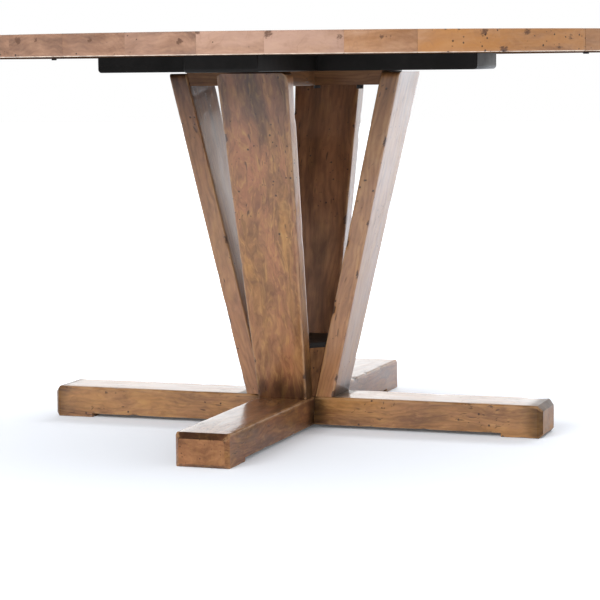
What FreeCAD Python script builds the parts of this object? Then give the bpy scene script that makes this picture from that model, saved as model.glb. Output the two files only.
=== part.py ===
import FreeCAD, Part
import math
import os
import re
import Sketcher

# Round plank-top dining table on a four-legged pedestal.
# X runs along the side arms of the foot cross, Y from front to back, Z up.
# The origin is on the floor under the middle of the pedestal.

doc = FreeCAD.newDocument("DiningTable")

# Driving dimensions, in millimetres. Reaches are measured outwards from the middle of the table.
sizes = {
    "tableHeight": 760,
    "topDiameter": 1524,
    "topThick": 38,
    "rimChamfer": 2,
    "seamEase": 0.8,
    "splineThick": 6,
    "splineWidth": 20,
    "splineStop": 70,
    "splineSlack": 1,
    "barLength": 772,
    "barWidth": 142,
    "barThick": 30,
    "barCorner": 7,
    "barEase": 2,
    "railWidth": 130,
    "railThick": 27,
    "legGap": 3,
    "legThick": 37,
    "legTopWidth": 140,
    "legFootWidth": 99,
    "legTopReach": 236,
    "legFootReach": 90,
    "legEase": 2,
    "legCorner": 5,
    "coreHeight": 98,
    "capThick": 10,
    "footLength": 1010,
    "footWidth": 103,
    "footHeight": 62,
    "footEase": 4,
    "padLength": 80,
    "reliefDepth": 7,
    "endChamfer": 10,
    "cornerChamfer": 7,
    "tenonLength": 50,
    "tenonWidth": 80,
    "tenonThick": 10,
    "tenonReach": 171,
    "dowelRadius": 5,
    "dowelLength": 44,
    "dowelHeight": 115,
    "dowelSpread": 25,
    "boltRadius": 4,
    "boltHeadRadius": 6.5,
    "boltHeadHeight": 8,
    "boltSocket": 3.4,
    "boltSocketDepth": 4,
    "boltRoom": 0.5,
    "washerRadius": 9,
    "washerThick": 2,
    "insertRadius": 6,
    "insertLength": 22,
    "railBoltReach": 134,
    "railBoltGrip": 16,
    "legBoltReach": 73,
    "legBoltSpread": 28,
    "legBoltGrip": 32,
    "counterboreRadius": 12,
    "counterboreDepth": 24,
    "coreCounterbore": 18,
    "screwRadius": 2.4,
    "screwHeadRadius": 5,
    "screwHeadHeight": 3.2,
    "screwHeadRound": 2.4,
    "screwLength": 40,
    "screwSink": 4,
    "screwRoomRadius": 6,
    "screwInnerReach": 285,
    "screwOuterReach": 352,
    "screwSpread": 42,
    "stripLength": 1180,
    "stripWidth": 22,
    "stripThick": 6,
    "stripPlace": 84,
    "stripBoltReach": 557,
    "stripScrewReach": 310,
    "stripBoltRadius": 3,
    "stripBoltLength": 14,
    "stripHeadRadius": 5.8,
    "stripHeadHeight": 3.5,
}

# Seams between the top's boards, from left to right: the boards are of mixed width
seam_places = [-676, -572, -466, -358, -246, -133, -16, 105, 213, 332, 436, 548, 658]
for number, place in enumerate(seam_places, start=1):
    sizes["seam%d" % number] = place

sheet = doc.addObject("Spreadsheet::Sheet", "Sizes")
for row, (alias, number) in enumerate(sizes.items(), start=1):
    sheet.set("A%d" % row, alias)
    sheet.set("B%d" % row, str(number))
    sheet.setAlias("B%d" % row, alias)
doc.recompute()

# Heights and slopes that follow from the driving dimensions
top_base = "(tableHeight - topThick)"
bar_base = "(tableHeight - topThick - barThick)"
rail_base = "(tableHeight - topThick - barThick - railThick)"
leg_top = "(tableHeight - topThick - barThick - legGap)"
leg_rise = "(%s - footHeight)" % leg_top
leg_slope = "((legTopReach - legFootReach) / %s)" % leg_rise
inner_foot = "(legFootReach - legThick)"
core_top = "(footHeight + coreHeight)"


def inner_face(height):
    """Reach of the legs' inner faces at a height above the floor."""
    return "(%s + %s * (%s - footHeight))" % (inner_foot, leg_slope, height)


def leg_side(height):
    """Half the legs' width at a height above the floor."""
    return "(legFootWidth + (legTopWidth - legFootWidth) * (%s - footHeight) / %s) / 2" % (height, leg_rise)


def formula(text):
    """Turns the plain names of the sizes into references to the sheet's cells."""
    return re.sub(r"[A-Za-z]+\d*", lambda m: "Sizes." + m[0] if m[0] in sizes else m[0], str(text))


def bind(thing, **formulas):
    for name, text in formulas.items():
        thing.setExpression(name, formula(text))


def put(thing, x="0", y="0", z="0", turn=None):
    """Places a thing by formulas, with an optional turn about its own corner."""
    if turn:
        thing.Placement = FreeCAD.Placement(FreeCAD.Vector(0, 0, 0), turn)
    for axis, text in zip("xyz", (x, y, z)):
        thing.setExpression("Placement.Base." + axis, formula(text))
    return thing


def about_z(angle):
    return FreeCAD.Rotation(FreeCAD.Vector(0, 0, 1), angle)


def block(name, length, width, height, z, x="0", y="0"):
    """A box centred on x and y, standing on z."""
    box = doc.addObject("Part::Box", name)
    bind(box, Length=length, Width=width, Height=height)
    return put(box, "%s - (%s) / 2" % (x, length), "%s - (%s) / 2" % (y, width), z)


def rod(name, radius, height, x, y, z, turn=None):
    cylinder = doc.addObject("Part::Cylinder", name)
    bind(cylinder, Radius=radius, Height=height)
    return put(cylinder, x, y, z, turn)


def hexagon(name, radius, height, x, y, z):
    prism = doc.addObject("Part::Prism", name)
    prism.Polygon = 6
    bind(prism, Circumradius=radius, Height=height)
    return put(prism, x, y, z)


def taper(name, base, top, z, height):
    """A solid between two level rectangles: base and top are (low x, high x, half width in y)."""
    wedge = doc.addObject("Part::Wedge", name)
    bind(wedge, Xmin=base[0], Xmax=base[1], Zmin="-(%s)" % base[2], Zmax=base[2])
    bind(wedge, X2min=top[0], X2max=top[1], Z2min="-(%s)" % top[2], Z2max=top[2])
    bind(wedge, Ymin="0", Ymax=height)
    return put(wedge, z=z, turn=FreeCAD.Rotation(FreeCAD.Vector(1, 0, 0), 90))


def join(name, things):
    fused = doc.addObject("Part::MultiFuse", name)
    fused.Shapes = things
    return fused


def cut(name, base, tools):
    """Takes one or more tools out of a base."""
    result = doc.addObject("Part::Cut", name)
    result.Base = base
    result.Tool = tools[0] if len(tools) == 1 else join(name + "_tools", tools)
    return result


def group(name, things):
    """Separate solids that share one node."""
    compound = doc.addObject("Part::Compound", name)
    compound.Links = things
    return compound


# How near counts as the same place, in millimetres, and how straight as the same direction.
# The legs' long edges lean, so they are only roughly upright.
same_place = 0.1
straight = 0.99
roughly = 0.9


def find_edges(thing, test):
    """Numbers of the edges whose middle point and direction pass the test."""
    doc.recompute()
    found = []
    for number, edge in enumerate(thing.Shape.Edges, start=1):
        middle = edge.valueAt((edge.FirstParameter + edge.LastParameter) / 2)
        along = edge.tangentAt(edge.FirstParameter)
        if test(middle, along):
            found.append(number)
    return found


def ease(kind, name, base, edges, size):
    """Part::Fillet or Part::Chamfer on numbered edges."""
    eased = doc.addObject(kind, name)
    eased.Base = base
    eased.Edges = [(number, size, size) for number in edges]
    return eased


def along_arm(arm, reach, across="0"):
    """X and Y of a point on an arm, given as its reach outwards and its place across the arm."""
    turn_x, turn_y = {"right": (1, 0), "back": (0, 1), "left": (-1, 0), "front": (0, -1)}[arm]
    x = "(%d) * (%s) - (%d) * (%s)" % (turn_x, reach, turn_y, across)
    y = "(%d) * (%s) + (%d) * (%s)" % (turn_y, reach, turn_x, across)
    return x, y


arms = {"right": 0, "back": 90, "left": 180, "front": 270}
nodes = {}


def keep(name, thing):
    thing.Label = name
    nodes[name] = thing


# Beams drawn in side view

def beam(name, outline, width):
    """A PartDesign body: a side-view outline in X and Z, padded evenly to both sides."""
    body = doc.addObject("PartDesign::Body", name)
    sketch = body.newObject("Sketcher::SketchObject", name + "_outline")
    side = [plane for plane in body.Origin.OriginFeatures if plane.Role == "XZ_Plane"][0]
    sketch.AttachmentSupport = [(side, "")]
    sketch.MapMode = "FlatFace"
    count = len(outline)
    spread = 2 * math.pi / count
    starts = [FreeCAD.Vector(math.cos(i * spread), math.sin(i * spread), 0) for i in range(count)]
    for i in range(count):
        sketch.addGeometry(Part.LineSegment(starts[i], starts[(i + 1) % count]), False)
    for i in range(count):
        sketch.addConstraint(Sketcher.Constraint("Coincident", i, 2, (i + 1) % count, 1))
    for i, place in enumerate(outline):
        for kind, text in zip(("DistanceX", "DistanceY"), place):
            number = sketch.addConstraint(Sketcher.Constraint(kind, -1, 1, i, 1, 1.0))
            sketch.setExpression("Constraints[%d]" % number, formula(text))
    pad = body.newObject("PartDesign::Pad", name + "_pad")
    pad.Profile = sketch
    pad.SideType = "Symmetric"
    bind(pad, Length=width)
    doc.recompute()
    return body, pad


def dress(body, kind, name, base, test, size, prop):
    """Adds a PartDesign::Fillet or PartDesign::Chamfer to the edges that pass the test."""
    feature = body.newObject(kind, name)
    feature.Base = (base, ["Edge%d" % number for number in find_edges(base, test)])
    bind(feature, **{prop: size})
    doc.recompute()
    return feature


def foot_beam(name):
    """A floor beam with chamfered ends, eased edges and an underside relieved between two pads."""
    end = "footLength / 2"
    outline = [
        ("-" + end, "0"),
        ("padLength - " + end, "0"),
        ("padLength - " + end, "reliefDepth"),
        (end + " - padLength", "reliefDepth"),
        (end + " - padLength", "0"),
        (end, "0"),
        (end, "footHeight - endChamfer"),
        (end + " - endChamfer", "footHeight"),
        ("endChamfer - " + end, "footHeight"),
        ("-" + end, "footHeight - endChamfer"),
    ]
    body, pad = beam(name + "_body", outline, "footWidth")

    def corner(middle, along):
        at_end = abs(middle.x) > sizes["footLength"] / 2 - same_place
        at_side = abs(middle.y) > sizes["footWidth"] / 2 - same_place
        return abs(along.z) > straight and at_end and at_side

    def top_edge(middle, along):
        return abs(along.x) > straight and middle.z > sizes["footHeight"] - same_place

    corners = dress(body, "PartDesign::Chamfer", name + "_corners", pad, corner, "cornerChamfer", "Size")
    dress(body, "PartDesign::Fillet", name + "_ease", corners, top_edge, "footEase", "Radius")
    return body


def foot_bolt_holes(name, beam_arms):
    """Clearance holes and counterbores for the bolts that pull the legs down, two to a leg."""
    tools = []
    for arm in beam_arms:
        for side in ("legBoltSpread", "-legBoltSpread"):
            x, y = along_arm(arm, "legBoltReach", side)
            tools.append(rod(name + "_hole", "boltRadius + boltRoom", "footHeight", x, y, "0"))
            tools.append(rod(name + "_counterbore", "counterboreRadius", "counterboreDepth", x, y, "0"))
    return tools


side_body = foot_beam("foot_beam_side")
side_lap = block("side_lap", "footWidth", "footWidth", "footHeight", "footHeight / 2")
side_hole = rod("side_core_hole", "boltRadius + boltRoom", "footHeight", "0", "0", "0")
side_room = rod("side_core_room", "counterboreRadius", "coreCounterbore", "0", "0", "0")
side_tools = [side_lap, side_hole, side_room] + foot_bolt_holes("side", ("right", "left"))
keep("foot_beam_side", cut("foot_side", side_body, side_tools))

front_body = foot_beam("foot_beam_front")
front_body.Placement = FreeCAD.Placement(FreeCAD.Vector(0, 0, 0), about_z(90))
front_lap = block("front_lap", "footWidth", "footWidth", "footHeight / 2", "0")
front_hole = rod("front_core_hole", "boltRadius + boltRoom", "footHeight", "0", "0", "0")
front_tools = [front_lap, front_hole] + foot_bolt_holes("front", ("front", "back"))
keep("foot_beam_front", cut("foot_front", front_body, front_tools))


def cross_bar(name):
    """A flat black bar under the top, with rounded lower corners at its ends."""
    end = "barLength / 2"
    outline = [("-" + end, "0"), (end, "0"), (end, "barThick"), ("-" + end, "barThick")]
    body, pad = beam(name + "_body", outline, "barWidth")
    low_end = lambda middle, along: abs(along.y) > straight and middle.z < same_place
    upright = lambda middle, along: abs(along.z) > straight
    rounded = dress(body, "PartDesign::Fillet", name + "_nose", pad, low_end, "barCorner", "Radius")
    dress(body, "PartDesign::Fillet", name + "_ease", rounded, upright, "barEase", "Radius")
    return put(body, z=bar_base)


def bar_holes(name, bar_arms):
    """Counterbored screw holes at a bar's ends and blind holes for its two bolt inserts."""
    tools = []
    for arm in bar_arms:
        x, y = along_arm(arm, "railBoltReach")
        tools.append(rod(name + "_insert_hole", "insertRadius", "insertLength", x, y, bar_base))
        for reach in ("screwInnerReach", "screwOuterReach"):
            for side in ("screwSpread", "-screwSpread"):
                x, y = along_arm(arm, reach, side)
                tools.append(rod(name + "_screw_hole", "screwRadius", "barThick", x, y, bar_base))
                tools.append(rod(name + "_screw_room", "screwRoomRadius", "screwSink", x, y, bar_base))
    return tools


bar_side_body = cross_bar("cross_bar_side")
bar_side_lap = block("bar_side_lap", "barWidth", "barWidth", "barThick", bar_base + " + barThick / 2")
bar_side_tools = [bar_side_lap] + bar_holes("bar_side", ("right", "left"))
keep("cross_bar_side", cut("bar_side", bar_side_body, bar_side_tools))

bar_front_body = cross_bar("cross_bar_front")
bar_front_body.Placement.Rotation = about_z(90)
bar_front_lap = block("bar_front_lap", "barWidth", "barWidth", "barThick / 2", bar_base)
bar_front_tools = [bar_front_lap] + bar_holes("bar_front", ("front", "back"))
keep("cross_bar_front", cut("bar_front", bar_front_body, bar_front_tools))


# Rails: flat boards lying between the legs, their ends cut to the legs' slope

def tenon(name, arm):
    """A loose tenon across the joint between a rail and a leg, or the mortise that takes it."""
    x, y = along_arm(arm, "tenonReach + tenonLength / 2")
    length, width = "tenonLength", "tenonWidth"
    if arm in ("front", "back"):
        length, width = width, length
    return block(name, length, width, "tenonThick", rail_base + " + railThick / 2 - tenonThick / 2", x, y)


def rail(name, angle, lap_base, rail_arms):
    low = inner_face(rail_base)
    high = inner_face(bar_base)
    half = "railWidth / 2"
    board = taper(name + "_board", ("-" + low, low, half), ("-" + high, high, half), rail_base, "railThick")
    board.Placement.Rotation = about_z(angle) * board.Placement.Rotation
    tools = [block(name + "_lap", "railWidth", "railWidth", "railThick / 2", lap_base)]
    for arm in rail_arms:
        x, y = along_arm(arm, "railBoltReach")
        tools.append(rod(name + "_bolt_hole", "boltRadius + boltRoom", "railThick", x, y, rail_base))
        tools.append(tenon(name + "_mortise", arm))
    keep(name, cut(name + "_cut", board, tools))


rail("top_rail_side", 0, rail_base + " + railThick / 2", ("right", "left"))
rail("top_rail_front", 90, rail_base, ("front", "back"))

# Legs: boards that taper towards the foot and lean outwards, one on each arm

lean = math.degrees(math.atan((sizes["legTopReach"] - sizes["legFootReach"]) / (
    sizes["tableHeight"] - sizes["topThick"] - sizes["barThick"] - sizes["legGap"] - sizes["footHeight"])))
square_to_leg = FreeCAD.Rotation(FreeCAD.Vector(0, 1, 0), 90 + lean)
dowel_half = "dowelLength / 2 * cos(atan(%s))" % leg_slope
dowel_start = "%s - %s" % (inner_face("dowelHeight"), dowel_half)
dowel_lift = "dowelHeight + dowelLength / 2 * sin(atan(%s))" % leg_slope


def leg(name, angle):
    base = (inner_foot, "legFootReach", "legFootWidth / 2")
    top = ("legTopReach - legThick", "legTopReach", "legTopWidth / 2")
    board = taper(name + "_board", base, top, "footHeight", leg_rise)
    top_corner = lambda middle, along: abs(along.x) > straight and middle.z > sizes["tableHeight"] / 2
    top_corners = find_edges(board, top_corner)
    rounded = ease("Part::Fillet", name + "_rounded", board, top_corners, sizes["legCorner"])
    long_edges = find_edges(rounded, lambda middle, along: abs(along.z) > roughly)
    eased = ease("Part::Fillet", name + "_eased", rounded, long_edges, sizes["legEase"])
    tools = [tenon(name + "_mortise", "right")]
    for side in ("1", "-1"):
        place = ("legBoltReach", side + " * legBoltSpread", "footHeight")
        tools.append(rod(name + "_insert_hole", "insertRadius", "insertLength", *place))
        tools.append(rod(name + "_bolt_tip", "boltRadius + boltRoom", "legBoltGrip + boltRoom", *place))
        place = (dowel_start, side + " * dowelSpread", dowel_lift)
        tools.append(rod(name + "_dowel_hole", "dowelRadius", "dowelLength", *place, square_to_leg))
    shaped = cut(name + "_cut", eased, tools)
    shaped.Placement = FreeCAD.Placement(FreeCAD.Vector(0, 0, 0), about_z(angle))
    keep(name, shaped)


for arm, angle in arms.items():
    leg("leg_" + arm, angle)


# Core: a block that widens upwards between the feet of the legs, under a thin black cap

def core_taper(name, low, high):
    """A square block against the legs' inner faces, its corners cut back to the legs' sides."""
    rise = "%s - %s" % (high, low)
    base = inner_face(low)
    top = inner_face(high)
    square = taper(name + "_square", ("-" + base, base, base), ("-" + top, top, top), low, rise)
    base = "((%s + %s) / sqrt(2))" % (base, leg_side(low))
    top = "((%s + %s) / sqrt(2))" % (top, leg_side(high))
    corners = taper(name + "_corners", ("-" + base, base, base), ("-" + top, top, top), low, rise)
    corners.Placement.Rotation = about_z(45) * corners.Placement.Rotation
    common = doc.addObject("Part::Common", name)
    common.Base = square
    common.Tool = corners
    return common


def dowel(name, arm):
    """Two dowels square to the joint between a leg and the core, given as separate rods."""
    pair = []
    turn = about_z(arms[arm]) * square_to_leg
    for side in ("dowelSpread", "-dowelSpread"):
        x, y = along_arm(arm, dowel_start, side)
        pair.append(rod(name, "dowelRadius", "dowelLength", x, y, dowel_lift, turn))
    return pair


core_foot = ("0", "0", "footHeight")
core_tools = [
    rod("core_insert_hole", "insertRadius", "insertLength", *core_foot),
    rod("core_bolt_tip", "boltRadius + boltRoom", "legBoltGrip + boltRoom", *core_foot),
]
dowels = []
for arm in arms:
    core_tools += dowel("core_dowel_hole", arm)
    dowels += dowel("core_dowel", arm)
keep("core_block", cut("core", core_taper("core_solid", "footHeight", core_top), core_tools))
keep("core_cap", core_taper("cap", core_top, "(%s + capThick)" % core_top))
keep("core_dowels", group("dowel_group", dowels))

keep("rail_tenons", group("tenon_group", [tenon("rail_tenon", arm) for arm in arms]))


# Bolts, washers and threaded inserts

def cap_screw(name, x, y, seat, grip):
    """A socket-head bolt pointing up: its head hangs under the seat and its shank rises by the grip."""
    head = rod(name + "_head", "boltHeadRadius", "boltHeadHeight", x, y, "%s - boltHeadHeight" % seat)
    shank = rod(name + "_shank", "boltRadius", grip, x, y, seat)
    socket = hexagon(name + "_socket", "boltSocket", "boltSocketDepth", x, y, "%s - boltHeadHeight" % seat)
    return cut(name, join(name + "_blank", [head, shank]), [socket])


def ring(name, outer, height, x, y, z):
    """A washer or a threaded insert, bored to the bolts' size."""
    blank = rod(name + "_outer", outer, height, x, y, z)
    bore = rod(name + "_bore", "boltRadius", height, x, y, z)
    return cut(name, blank, [bore])


rail_bolts = []
bar_inserts = []
for arm in arms:
    x, y = along_arm(arm, "railBoltReach")
    rail_bolts.append(cap_screw("rail_bolt", x, y, rail_base, "railThick + railBoltGrip"))
    bar_inserts.append(ring("bar_insert", "insertRadius", "insertLength", x, y, bar_base))
keep("rail_bolts", group("rail_bolt_group", rail_bolts))
keep("bar_inserts", group("bar_insert_group", bar_inserts))

leg_bolts = []
leg_washers = []
leg_inserts = []
leg_seat = "(counterboreDepth - washerThick)"
for arm in arms:
    for side in ("legBoltSpread", "-legBoltSpread"):
        x, y = along_arm(arm, "legBoltReach", side)
        grip = "footHeight - %s + legBoltGrip" % leg_seat
        leg_bolts.append(cap_screw("leg_bolt", x, y, leg_seat, grip))
        leg_washers.append(ring("leg_washer", "washerRadius", "washerThick", x, y, leg_seat))
        leg_inserts.append(ring("leg_insert", "insertRadius", "insertLength", x, y, "footHeight"))
keep("leg_bolts", group("leg_bolt_group", leg_bolts))
keep("leg_bolt_washers", group("leg_washer_group", leg_washers))
keep("leg_inserts", group("leg_insert_group", leg_inserts))

core_seat = "(coreCounterbore - washerThick)"
keep("core_bolt", cap_screw("core_screw", "0", "0", core_seat, "footHeight - %s + legBoltGrip" % core_seat))
keep("core_bolt_washer", ring("core_ring", "washerRadius", "washerThick", "0", "0", core_seat))
keep("core_insert", ring("core_sleeve", "insertRadius", "insertLength", *core_foot))


def pan_screw(name, x, y, seat):
    """A round-headed wood screw pointing up from its seat."""
    head = rod(name + "_head", "screwHeadRadius", "screwHeadHeight", x, y, "%s - screwHeadHeight" % seat)
    shank = rod(name + "_shank", "screwRadius", "screwLength", x, y, seat)
    blank = join(name + "_blank", [head, shank])
    doc.recompute()
    underside = blank.Shape.BoundBox.ZMin
    rims = find_edges(blank, lambda middle, along: middle.z < underside + same_place)
    return ease("Part::Fillet", name, blank, rims, sizes["screwHeadRound"])


bar_screws = []
screw_places = []
for arm in arms:
    for reach in ("screwInnerReach", "screwOuterReach"):
        for side in ("screwSpread", "-screwSpread"):
            screw_places.append(along_arm(arm, reach, side))
for x, y in screw_places:
    bar_screws.append(pan_screw("bar_screw", x, y, "(%s + screwSink)" % bar_base))
keep("bar_screws", group("bar_screw_group", bar_screws))

# Flat steel strip let into the underside behind the side bar, to hold the boards flat

def strip_block(name):
    return block(name, "stripLength", "stripWidth", "stripThick", top_base, "0", "stripPlace")


strip_reaches = ("stripBoltReach", "stripScrewReach", "-stripScrewReach", "-stripBoltReach")
strip_holes = []
strip_bolts = []
for reach in strip_reaches:
    strip_holes.append(rod("strip_hole", "stripBoltRadius", "stripThick", reach, "stripPlace", top_base))
    low = "%s - stripHeadHeight" % top_base
    head = hexagon("strip_head", "stripHeadRadius", "stripHeadHeight", reach, "stripPlace", low)
    shank = rod("strip_shank", "stripBoltRadius", "stripBoltLength", reach, "stripPlace", top_base)
    strip_bolts.append(join("strip_bolt", [head, shank]))
keep("stiffener_strip", cut("strip", strip_block("strip_plate"), strip_holes))
keep("stiffener_bolts", group("strip_bolt_group", strip_bolts))


# Top: boards side by side along Y with stopped splines in their seams, cut to a round outline

disc = rod("top_disc", "topDiameter / 2", "topThick", "0", "0", top_base)
rims = find_edges(disc, lambda middle, along: abs(along.z) < 1 - straight)
round_top = ease("Part::Chamfer", "round_top", disc, rims, sizes["rimChamfer"])
spline_base = "%s + topThick / 2 - splineThick / 2" % top_base


def chord(seam):
    return "2 * sqrt(topDiameter^2 / 4 - %s^2)" % seam


def top_board(name, low, high, seams):
    """One board between two places in X, grooved along each seam for the splines."""
    wide = "%s - %s" % (high, low)
    centre = "(%s + %s) / 2" % (high, low)
    strip = block(name + "_strip", wide, "topDiameter", "topThick", top_base, centre)

    def seam_edge(middle, along):
        at_seam = any(abs(middle.x - sizes[seam]) < same_place for seam in seams)
        at_top = middle.z > sizes["tableHeight"] - same_place
        return abs(along.y) > straight and at_seam and at_top

    eased = ease("Part::Chamfer", name + "_eased", strip, find_edges(strip, seam_edge), sizes["seamEase"])
    board = doc.addObject("Part::Common", name + "_round")
    board.Base = round_top
    board.Tool = eased
    tools = []
    for seam in seams:
        length = chord(seam) + " - 2 * splineStop"
        tools.append(block(name + "_groove", "splineWidth", length, "splineThick", spline_base, seam))
    tools.append(strip_block(name + "_housing"))
    for reach in strip_reaches:
        place = (reach, "stripPlace", top_base)
        tools.append(rod(name + "_strip_hole", "stripBoltRadius", "stripBoltLength", *place))
    depth = "screwSink + screwLength - barThick"
    for x, y in screw_places:
        tools.append(rod(name + "_screw_hole", "screwRadius", depth, x, y, top_base))
    keep(name, cut(name + "_cut", board, tools))


seams = ["seam%d" % number for number in range(1, len(seam_places) + 1)]
limits = ["-topDiameter / 2"] + seams + ["topDiameter / 2"]
for number in range(len(limits) - 1):
    bounding = [seam for seam in limits[number:number + 2] if seam in sizes]
    top_board("top_plank_%02d" % (number + 1), limits[number], limits[number + 1], bounding)

splines = []
for seam in seams:
    length = chord(seam) + " - 2 * splineStop - 2 * splineSlack"
    width = "splineWidth - splineSlack"
    splines.append(block("plank_spline", width, length, "splineThick", spline_base, seam))
keep("plank_splines", group("spline_group", splines))

# Every feature has to have worked before anything is written
doc.recompute()
for thing in doc.Objects:
    if "Invalid" in thing.State or "Error" in thing.State:
        raise RuntimeError("%s failed: %s" % (thing.Name, thing.State))
for name, thing in nodes.items():
    if thing.Shape.isNull() or not thing.Shape.isValid() or not thing.Shape.Solids:
        raise RuntimeError("%s has no sound shape" % name)

os.makedirs("parts", exist_ok=True)
for name, thing in nodes.items():
    thing.Shape.exportStep("parts/%s.step" % name)
    print("%-18s %2d solids %10.0f mm3" % (name, len(thing.Shape.Solids), thing.Shape.Volume))
print(len(nodes), "nodes")
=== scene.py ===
import bmesh
import bpy
import math
import random
from mathutils import Matrix, Vector, noise


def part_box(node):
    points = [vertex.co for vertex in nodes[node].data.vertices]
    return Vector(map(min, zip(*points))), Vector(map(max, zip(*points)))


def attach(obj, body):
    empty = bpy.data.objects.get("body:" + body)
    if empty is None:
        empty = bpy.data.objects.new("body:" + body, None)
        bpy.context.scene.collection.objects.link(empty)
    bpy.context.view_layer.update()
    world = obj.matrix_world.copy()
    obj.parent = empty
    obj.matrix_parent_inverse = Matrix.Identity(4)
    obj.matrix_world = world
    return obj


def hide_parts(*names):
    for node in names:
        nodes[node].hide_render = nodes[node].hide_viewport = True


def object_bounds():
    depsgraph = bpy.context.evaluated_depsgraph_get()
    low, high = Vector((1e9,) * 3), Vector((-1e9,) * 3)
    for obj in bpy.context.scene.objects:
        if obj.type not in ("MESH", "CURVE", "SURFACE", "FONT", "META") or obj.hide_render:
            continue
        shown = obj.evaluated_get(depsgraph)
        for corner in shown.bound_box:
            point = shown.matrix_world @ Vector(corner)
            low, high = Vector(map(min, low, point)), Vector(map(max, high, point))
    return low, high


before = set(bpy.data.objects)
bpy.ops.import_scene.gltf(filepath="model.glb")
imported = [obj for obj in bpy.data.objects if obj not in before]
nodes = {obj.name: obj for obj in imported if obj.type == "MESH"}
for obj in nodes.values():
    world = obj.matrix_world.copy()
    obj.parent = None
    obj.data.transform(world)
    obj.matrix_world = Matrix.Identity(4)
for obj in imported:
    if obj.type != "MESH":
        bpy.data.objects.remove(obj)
cadLow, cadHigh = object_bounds()
scene = bpy.context.scene
scene.view_settings.view_transform = "Standard"
print("table frame loaded,", len(nodes), "pieces")


# Small helpers for building node trees

def startMaterial(name):
    material = bpy.data.materials.new(name)
    material.use_nodes = True
    material.node_tree.nodes.clear()
    return material, material.node_tree


def isSocket(value):
    return isinstance(value, bpy.types.NodeSocket)


def addNode(tree, kind, sockets=None, **settings):
    node = tree.nodes.new("ShaderNode" + kind)
    for name, value in settings.items():
        setattr(node, name, value)
    for name, value in (sockets or {}).items():
        if isSocket(value):
            tree.links.new(value, node.inputs[name])
        else:
            node.inputs[name].default_value = value
    return node


def endMaterial(tree, shader):
    output = addNode(tree, "OutputMaterial")
    tree.links.new(shader.outputs[0], output.inputs[0])


def maths(tree, operation, first, second):
    return addNode(tree, "Math", {0: first, 1: second}, operation=operation).outputs[0]


def times(tree, first, second):
    return maths(tree, "MULTIPLY", first, second)


def vectorMaths(tree, operation, first, second):
    return addNode(tree, "VectorMath", {0: first, 1: second}, operation=operation).outputs[0]


def remap(tree, value, low, high, outLow=0.0, outHigh=1.0):
    sockets = {"Value": value, "From Min": low, "From Max": high, "To Min": outLow, "To Max": outHigh}
    return addNode(tree, "MapRange", sockets, interpolation_type="SMOOTHSTEP").outputs[0]


def mixValue(tree, amount, first, second):
    return addNode(tree, "Mix", {0: amount, 2: first, 3: second}).outputs[0]


def mixColour(tree, amount, first, second, blend="MIX"):
    first, second = (value if isSocket(value) else (*value, 1.0) for value in (first, second))
    sockets = {0: amount, 6: first, 7: second}
    return addNode(tree, "Mix", sockets, data_type="RGBA", blend_type=blend).outputs[2]


def clouds(tree, place, stretch, detail, roughness):
    spread = vectorMaths(tree, "MULTIPLY", place, stretch)
    sockets = {"Vector": spread, "Scale": 1.0, "Detail": detail, "Roughness": roughness}
    return addNode(tree, "TexNoise", sockets).outputs


def cells(tree, place, stretch):
    # The gap to the nearest cell's middle, and the chance numbers of that cell
    spread = vectorMaths(tree, "MULTIPLY", place, stretch)
    outputs = addNode(tree, "TexVoronoi", {"Vector": spread, "Scale": 1.0}).outputs
    return outputs["Distance"], addNode(tree, "SeparateColor", {0: outputs["Color"]}).outputs


def colourRamp(tree, value, stops):
    ramp = addNode(tree, "ValToRGB", {0: value})
    band = ramp.color_ramp
    while len(band.elements) < len(stops):
        band.elements.new(0.5)
    for element, (position, colour) in zip(band.elements, stops):
        element.position = position
        element.color = (*colour, 1.0)
    return ramp.outputs[0]


def bumpFrom(tree, height, strength, depth):
    return addNode(tree, "Bump", {"Height": height, "Strength": strength, "Distance": depth}).outputs[0]


def pushed(tree, place, settings, reach):
    # A place that clouds push about, by up to half the reach each way
    drift = vectorMaths(tree, "SUBTRACT", clouds(tree, place, *settings)["Color"], (0.5, 0.5, 0.5))
    drift = addNode(tree, "VectorMath", {0: drift, "Scale": reach}, operation="SCALE").outputs[0]
    return vectorMaths(tree, "ADD", place, drift)


# What the finish reads at each point of a worn board
markNames = (
    "boardTone",     # rosy below nought, golden above
    # the next holds each board's own darkness and also painted shade and painted light
    "boardShade",    # dark below nought, pale above
    "boardEdge",     # one along the worn arrises
    "boardBurl",     # one where the grain swirls
    "boardEnd",      # one on a sawn end
    "boardStain",    # one in a knot or a stained nick
    "boardWorm",     # the share of worm holes
)

# Stained wood. The stops go from the darkest grain to the palest.
# Clouds give their marks in a metre along, across and through a board, then detail and roughness.
topLook = {
    "stops": [(0.08, (0.073, 0.032, 0.017)), (0.34, (0.178, 0.088, 0.049)), (0.55, (0.254, 0.138, 0.081)),
              (0.76, (0.310, 0.182, 0.116)), (0.95, (0.370, 0.242, 0.163))],
    "gold": (0.330, 0.144, 0.041),
    "rose": (0.330, 0.203, 0.150),
    "fleck": (0.422, 0.275, 0.156),
    "worn": (0.448, 0.313, 0.219),
    # the top's lowest arris, worn pale and carrying a painted highlight
    "bared": (0.720, 0.580, 0.460),
    "ringGap": 0.0032,
    "ringWeight": 0.20,
    "lineShade": 0.78,
    "wander": ((2.2, 12.0, 13.0), 3.0, 0.55),
    "swirl": 0.030,
    "clouds": {
        "cloud": ((5.0, 14.0, 45.0), 4.0, 0.6),
        "sideStreak": ((9.0, 120.0, 60.0), 4.0, 0.62),
        "endStreak": ((9.0, 16.0, 150.0), 3.0, 0.6),
        "flame": ((2.5, 10.0, 30.0), 3.0, 0.55),
    },
    "holes": 0.05,
    "marks": 0.05,
    "roughness": (0.34, 0.52),
    "gloss": 0.35,
    "coat": 0.25,
    "coatRoughness": 0.22,
}
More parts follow.
